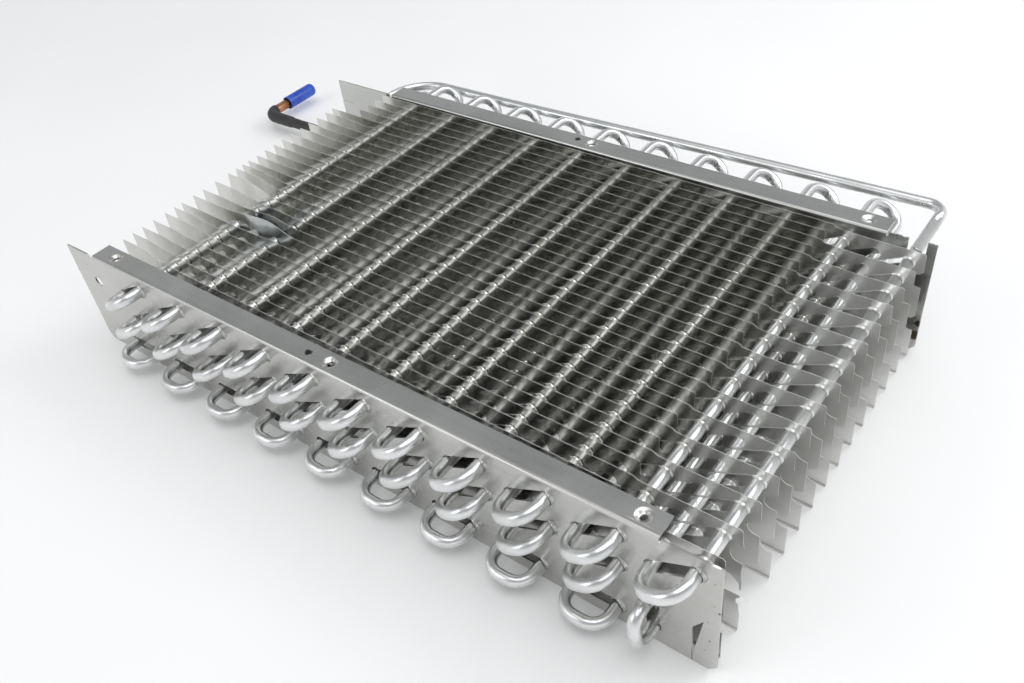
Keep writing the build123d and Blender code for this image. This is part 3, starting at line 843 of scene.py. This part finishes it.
def build_fin(index):
    """One fin with its slots, their collars, the lip along its lower edge and its tears."""
    name = ("short_fin" if index % 2 else "long_fin") + f"_{index // 2 + 1:02d}"
    y0 = FIN_FIRST + FIN_PITCH * index
    outline, left, right = fin_outline(index)
    whole, clipped, taken = [], [], list(TORN.get(index, []))
    for slots, root, profile in ((SLOTS, SLOT_ROOT, COLLAR), (SPARE_SLOTS, SPARE_ROOT, SPARE_RIM)):
        for slot in slots:
            loop = stadium(slot, root, 8, 2)
            xs = [p[0] for p in loop]
            if min(xs) > left + 0.8 and max(xs) < right - 0.8:
                whole.append((slot, profile, loop))
            elif min(xs) < right and max(xs) > left:
                clipped.append(loop)
    for polygon in taken:
        still = []
        for slot, profile, loop in whole:
            px = np.array([p[0] for p in loop])
            pz = np.array([p[1] for p in loop])
            if inside(px, pz, polygon).any():
                clipped.append(loop)
            else:
                still.append((slot, profile, loop))
        whole = still
    if index == 0:
        taken += [[(h - 6.6, -5.2), (h + 6.6, -5.2), (h + 6.6, 1), (h - 6.6, 1)]
                  for h in SCREWS]
    ring = []
    for slot, _, loop in whole:
        for extra, count in ((1.2, 6), (3.2, 5)):
            ring += stadium(slot, SLOT_ROOT + extra, count, 1)
    grid = [(left + 6 + 10.0 * a, FIN_BOTTOM + 5 + 9.0 * b)
            for a in range(int((right - left) / 10.0)) for b in range(10)]
    loose = np.array(ring + grid)
    gap = segment_distance(loose[:, 0], loose[:, 1], [slot for slot, _, _ in whole])
    keep = (gap > SLOT_ROOT + 0.9) & inside(loose[:, 0], loose[:, 1], outline)
    keep &= (loose[:, 0] > left + 1.2) & (loose[:, 0] < right - 1.2)
    keep &= (loose[:, 1] < FIN_TOP - 1.2) & (loose[:, 1] > FIN_BOTTOM + 1.2)
    loops = [outline] + [loop for _, _, loop in whole] + clipped + taken
    flat, tris, rings = flat_mesh(loops, loops[1:], [], loose[keep])
    x, z = flat[:, 0], flat[:, 1]
    y = y0 + fin_shift(index, x, z)
    n = len(flat)
    vertices = [(a, b - FIN_HALF, c) for a, b, c in zip(x, y, z)]
    vertices += [(a, b + FIN_HALF, c) for a, b, c in zip(x, y, z)]
    faces = list(tris) + [tuple(v + n for v in t[::-1]) for t in tris]
    in_ring = set()
    for (slot, profile, loop), numbers in zip(whole, rings[1:1 + len(whole)]):
        in_ring.update(numbers)
        share = leg_share(8, 2)
        previous = numbers
        for r, out in profile:
            first = len(vertices)
            for j, (px, pz) in enumerate(stadium(slot, r, 8, 2)):
                reach = out * (0.04 + 0.96 * share[j])
                vertices.append((px, y[numbers[j]] - FIN_HALF - reach, pz))
            current = [first + j for j in range(len(numbers))]
            for j in range(len(numbers)):
                k = (j + 1) % len(numbers)
                faces.append((previous[k], previous[j], current[j], current[k]))
            previous = current
        back = [v + n for v in numbers]
        for j in range(len(numbers)):
            k = (j + 1) % len(numbers)
            faces.append((previous[k], previous[j], back[j], back[k]))
    rim = {}

    def rim_vertex(v, dy, dz):
        """Number of the edge's own copy of a point, moved by dy and dz."""
        key = (v, dy, dz)
        if key not in rim:
            rim[key] = len(vertices)
            vertices.append((x[v], y[v] + dy, z[v] + dz))
        return rim[key]

    h = FIN_HALF
    lip = [(-h, 0), (-0.40, -0.34), (-1.5, -0.44), (-1.5, -0.66), (-0.35, -0.60), (h, -0.2),
           (h, 0)]
    edge_faces = []
    for a, b in open_edges(tris):
        if a in in_ring and b in in_ring:
            continue
        low_edge = z[a] < FIN_BOTTOM + 0.05 and z[b] < FIN_BOTTOM + 0.05
        path = lip if low_edge else [(-h, 0), (h, 0)]
        for (y1, z1), (y2, z2) in zip(path, path[1:]):
            if not low_edge:
                edge_faces.append(len(faces))
            faces.append((rim_vertex(b, y1, z1), rim_vertex(a, y1, z1), rim_vertex(a, y2, z2),
                          rim_vertex(b, y2, z2)))
    if index == 2:
        add_sliver(vertices, faces)
    piece = add_piece(name + "_sheet", vertices, faces, FIN, [name])
    piece.data.materials.append(FIN_EDGE)
    layer = piece.data.uv_layers.new(name="upward")
    corners = np.zeros(len(piece.data.loops), int)
    piece.data.loops.foreach_get("vertex_index", corners)
    spread = np.array([(v[2] / 100, v[0] / 600) for v in vertices])
    layer.data.foreach_set("uv", spread[corners].ravel())
    for number in edge_faces:
        piece.data.polygons[number].material_index = 1
    piece.data.set_sharp_from_angle(angle=SHARP_ANGLE)


def add_sliver(vertices, faces):
    """Bent strip that the tear has left on the third fin."""
    rows = [((531.2, 28.1, -57.4), (532.6, 28.1, -63.6)),
            ((533.4, 29.2, -59.6), (534.6, 29.0, -65.2)),
            ((535.4, 31.6, -63.6), (536.2, 31.3, -67.8)),
            ((537.2, 34.6, -68.2), (537.6, 34.3, -71.0)),
            ((538.8, 37.6, -73.2), (538.9, 37.5, -74.0))]
    first = len(vertices)
    for upper_end, lower_end in rows:
        for point in (upper_end, lower_end):
            vertices.append((point[0], point[1] - 0.11, point[2]))
            vertices.append((point[0], point[1] + 0.11, point[2]))
    for j in range(len(rows) - 1):
        a, b = first + 4 * j, first + 4 * j + 4
        faces.append((a, a + 2, b + 2, b))
        faces.append((a + 1, b + 1, b + 3, a + 3))
        faces.append((a, b, b + 1, a + 1))
        faces.append((a + 2, a + 3, b + 3, b + 2))
    faces.append((first, first + 1, first + 3, first + 2))
    last = first + 4 * (len(rows) - 1)
    faces.append((last, last + 2, last + 3, last + 1))


for fin_index in range(FIN_COUNT):
    build_fin(fin_index)


# End plates, cut flat and then folded

def fold_sheet(flat, depth, fold_y, flange, dimples, seed):
    """Places of the flat plate's points at a depth below its outer face."""
    x, s = flat[:, 0], flat[:, 1]
    bent = (x > flange[0] - 0.01) & (x < flange[1] + 0.01) & (s > -FOLD)
    a = np.clip((s + FOLD) / FOLD, 0, math.pi / 2)
    over = np.clip(s + FOLD - FOLD_ARC, 0, None)
    wave = np.array([0.30 * noise.noise(Vector((px * 0.011, ps * 0.024, seed)))
                     + 0.10 * noise.noise(Vector((px * 0.04, ps * 0.05, seed + 5)))
                     for px, ps in zip(x, s)])
    wave *= np.clip((-s - 3.0) / 14.0, 0, 1)
    sink = np.zeros(len(x))
    for cx, cs in dimples:
        r = np.hypot(x - cx, s - cs)
        t = np.clip((5.7 - r) / 3.5, 0, 1)
        sink = np.maximum(sink, DIMPLE_DEPTH * t * t * (3 - 2 * t) ** 0.6)
    y = np.where(bent, fold_y + FOLD - (FOLD - depth) * np.cos(a) + over, fold_y + depth + wave)
    z = np.where(bent, -FOLD + (FOLD - depth) * np.sin(a) - sink, s)
    return np.stack([x, y, z], axis=1)


def circle(cx, cz, r, count):
    """Closed loop of points round a centre."""
    turns = [2 * math.pi * j / count for j in range(count)]
    return [(cx + r * math.cos(a), cz + r * math.sin(a)) for a in turns]


def add_collar(vertices, faces, leg, face_y, outward):
    """Raised lip round the outer side of a leg where it leaves the plate."""
    profile = [(6.0, -0.15), (5.3, 0.2), (4.95, 0.7), (4.85, 1.4), (4.72, 1.65), (4.52, 1.62),
               (4.43, 1.3), (4.43, -0.15)]
    steps = 22
    first = len(vertices)
    for i in range(steps + 1):
        share = i / steps
        a = math.radians(-118 + 216 * share)
        rise = min(1.0, 4.2 * min(share, 1 - share) + 0.04)
        for r, out in profile:
            reach = out * rise if out > 0 else out
            vertices.append((leg[0] + r * math.cos(a), face_y + outward * reach,
                             leg[1] + r * math.sin(a)))
    size = len(profile)
    for i in range(steps):
        for j in range(size):
            k = (j + 1) % size
            a, b = first + i * size, first + (i + 1) * size
            quad = (a + j, a + k, b + k, b + j)
            faces.append(quad if outward > 0 else quad[::-1])
    start_cap = tuple(first + j for j in range(size))
    end_cap = tuple(first + steps * size + j for j in range(size))
    faces.append(start_cap[::-1] if outward > 0 else start_cap)
    faces.append(end_cap if outward > 0 else end_cap[::-1])


def build_plate(name, node, material, fold_y, flange, dimples, edge_top, edge_left, openings,
                outward):
    """One end plate from its flat outline, with its fold, dimples, slots and collars."""
    edge = FOLD_ARC + FLANGE_WIDTH - 2 * FOLD
    fold_rows = [-FOLD + FOLD_ARC * j / 7 for j in range(8)]
    corners = [(5, PLATE_LOW), (PLATE_LENGTH - 5, PLATE_LOW), (PLATE_LENGTH, PLATE_LOW + 5),
               (PLATE_LENGTH, 0)]
    corners += edge_top
    corners += [(flange[1] + 1.5, 0), (flange[1] + 1.5, -RELIEF), (flange[1], -RELIEF)]
    corners += [(flange[1], s) for s in fold_rows]
    corners += [(flange[1], edge), (flange[0], edge)]
    corners += [(flange[0], s) for s in reversed(fold_rows)]
    corners += [(flange[0], -RELIEF), (flange[0] - 1.5, -RELIEF), (flange[0] - 1.5, 0), (0, 0)]
    corners += edge_left + [(0, PLATE_LOW + 5)]
    outline = divided(corners, 8.0)
    holes = [stadium(slot, PLATE_SLOT_HALF, 9, 1) for slot in SLOTS] + openings
    holes += [circle(cx, cs, SCREW_R, 24) for cx, cs in dimples]
    rows = []
    width = flange[1] - flange[0]
    count = int(width / 12)
    for s in fold_rows + [2.6]:
        rows.append([(flange[0] + 0.4 + (width - 0.8) * j / count, s) for j in range(count + 1)])
    loose = []
    for cx, cs in dimples:
        for r, number in ((2.7, 24), (3.3, 24), (4.0, 24), (4.7, 24), (5.3, 24), (5.8, 24),
                          (6.5, 20)):
            loose += circle(cx, cs, r, number)
    loose += [(6 + 8.0 * a, PLATE_LOW + 5 + 8.0 * b) for a in range(67) for b in range(11)
              if PLATE_LOW + 5 + 8.0 * b < -3.4]
    for s in (4.5, 8.0, 11.5):
        line = [(flange[0] + 4 + 9.0 * a, s) for a in range(int(width / 9.0))]
        loose += [q for q in line if all(math.dist(q, dimple) > 7 for dimple in dimples)]
    loose = np.array(loose)
    gap = segment_distance(loose[:, 0], loose[:, 1], SLOTS)
    keep = (gap > 5.4) & inside(loose[:, 0], loose[:, 1], outline)
    for opening in openings:
        keep &= ~inside(loose[:, 0], loose[:, 1], opening)
    loops = [outline] + holes
    flat, tris, _ = flat_mesh(loops, holes, rows, loose[keep])
    seed = 3.0 if fold_y == 0 else 41.0
    front = fold_sheet(flat, 0.0, fold_y, flange, dimples, seed)
    back = fold_sheet(flat, PLATE_T, fold_y, flange, dimples, seed)
    n = len(flat)
    vertices = [tuple(v) for v in front] + [tuple(v) for v in back]
    faces = list(tris) + [tuple(v + n for v in t[::-1]) for t in tris]
    rim = {}

    def rim_vertex(v, deep):
        """Number of the edge's own copy of a point of the front or the back."""
        if (v, deep) not in rim:
            rim[(v, deep)] = len(vertices)
            vertices.append(vertices[v + n] if deep else vertices[v])
        return rim[(v, deep)]

    for a, b in open_edges(tris):
        faces.append((rim_vertex(b, False), rim_vertex(a, False), rim_vertex(a, True),
                      rim_vertex(b, True)))
    for slot in SLOTS:
        face_y = fold_y if outward < 0 else fold_y + PLATE_T
        add_collar(vertices, faces, slot[1], face_y, outward)
    add_piece(name, vertices, faces, material, [node])


build_plate("near_plate", "near_end_plate", NEAR_PLATE, 0.0, (31.0, 505.0),
            [(x, NEAR_SCREW_LINE) for x in SCREWS], [], [],
            [circle(24.5, -25.9, 4.2, 32),
             [(525.2, -90.2), (525.2, -59.1), (531.4, -49.6), (526.4, -81.0), (526.0, -90.2)]], -1)
build_plate("far_plate", "far_end_plate", FAR_PLATE, PLATE_SPAN, (66.0, 507.0),
            [(x, FAR_SCREW_LINE) for x in SCREWS[1:]],
            [(533.8, 0), (533.8, -12.6), (521.5, -12.6), (521.5, 0)],
            [(0, -19.2), (14, -19.2), (14, -20.0), (0, -20.0)], [], 1)


# Floor, light and camera

floor_mesh = bpy.data.meshes.new("floor")
floor_z = CAD_LOW[2] - 0.0002
floor_mesh.from_pydata([(-6, -6, floor_z), (6, -6, floor_z), (6, 6, floor_z), (-6, 6, floor_z)],
                       [], [(0, 1, 2, 3)])
floor_mesh.materials.append(floor_material())
floor = bpy.data.objects.new("floor", floor_mesh)
bpy.context.scene.collection.objects.link(floor)

world = bpy.data.worlds.new("studio")
bpy.context.scene.world = world
world.use_nodes = True
nodes, links = world.node_tree.nodes, world.node_tree.links
nodes.clear()
output = nodes.new("ShaderNodeOutputWorld")
backdrop = nodes.new("ShaderNodeBackground")
coords = nodes.new("ShaderNodeTexCoord")
split = nodes.new("ShaderNodeSeparateXYZ")
links.new(coords.outputs["Generated"], split.inputs["Vector"])
links.new(ramp(nodes, links, split.outputs["Z"],
               [(0.0, grey(0.667)), (0.20, grey(0.60)), (0.42, (0.33, 0.338, 0.34)),
                (0.58, (0.26, 0.27, 0.28)), (0.80, (0.225, 0.235, 0.25)), (0.88, grey(0.36)),
                (0.945, grey(0.95)), (1.0, grey(1))]),
          backdrop.inputs["Color"])
backdrop.inputs["Strength"].default_value = 1.5
links.new(backdrop.outputs["Background"], output.inputs["Surface"])


def soft_light(name, location, target, size, power):
    """A rectangular lamp that faces the target."""
    data = bpy.data.lights.new(name, "AREA")
    data.shape = "RECTANGLE"
    data.size, data.size_y = size
    data.energy = power
    lamp = bpy.data.objects.new(name, data)
    bpy.context.scene.collection.objects.link(lamp)
    lamp.location = location
    lamp.rotation_mode = "QUATERNION"
    lamp.rotation_quaternion = (Vector(target) - Vector(location)).to_track_quat("-Z", "Y")


soft_light("front_left_soft", (-0.9, -1.2, 1.05), (0, 0.05, -0.03), (1.2, 0.9), 5.5)
soft_light("overhead_soft", (0.55, -0.1, 1.7), (0, 0.15, 0), (1.5, 1.1), 8)
soft_light("back_right_soft", (1.0, 1.15, 1.25), (0, 0.15, 0), (1.2, 0.9), 11)

camera_data = bpy.data.cameras.new("photo_camera")
camera_data.sensor_width = 36.0
camera_data.lens = 33.57
camera_data.clip_start = 0.01
camera = bpy.data.objects.new("photo_camera", camera_data)
bpy.context.scene.collection.objects.link(camera)
camera.matrix_world = Matrix(((0.79934, -0.33261, 0.50043, 0.3768),
                              (0.59261, 0.57412, -0.56498, -0.2565),
                              (-0.09939, 0.74817, 0.65602, 0.3830),
                              (0, 0, 0, 1)))
bpy.context.scene.camera = camera
bpy.context.scene.view_settings.view_transform = "Standard"
bpy.context.scene.cycles.glossy_bounces = 10
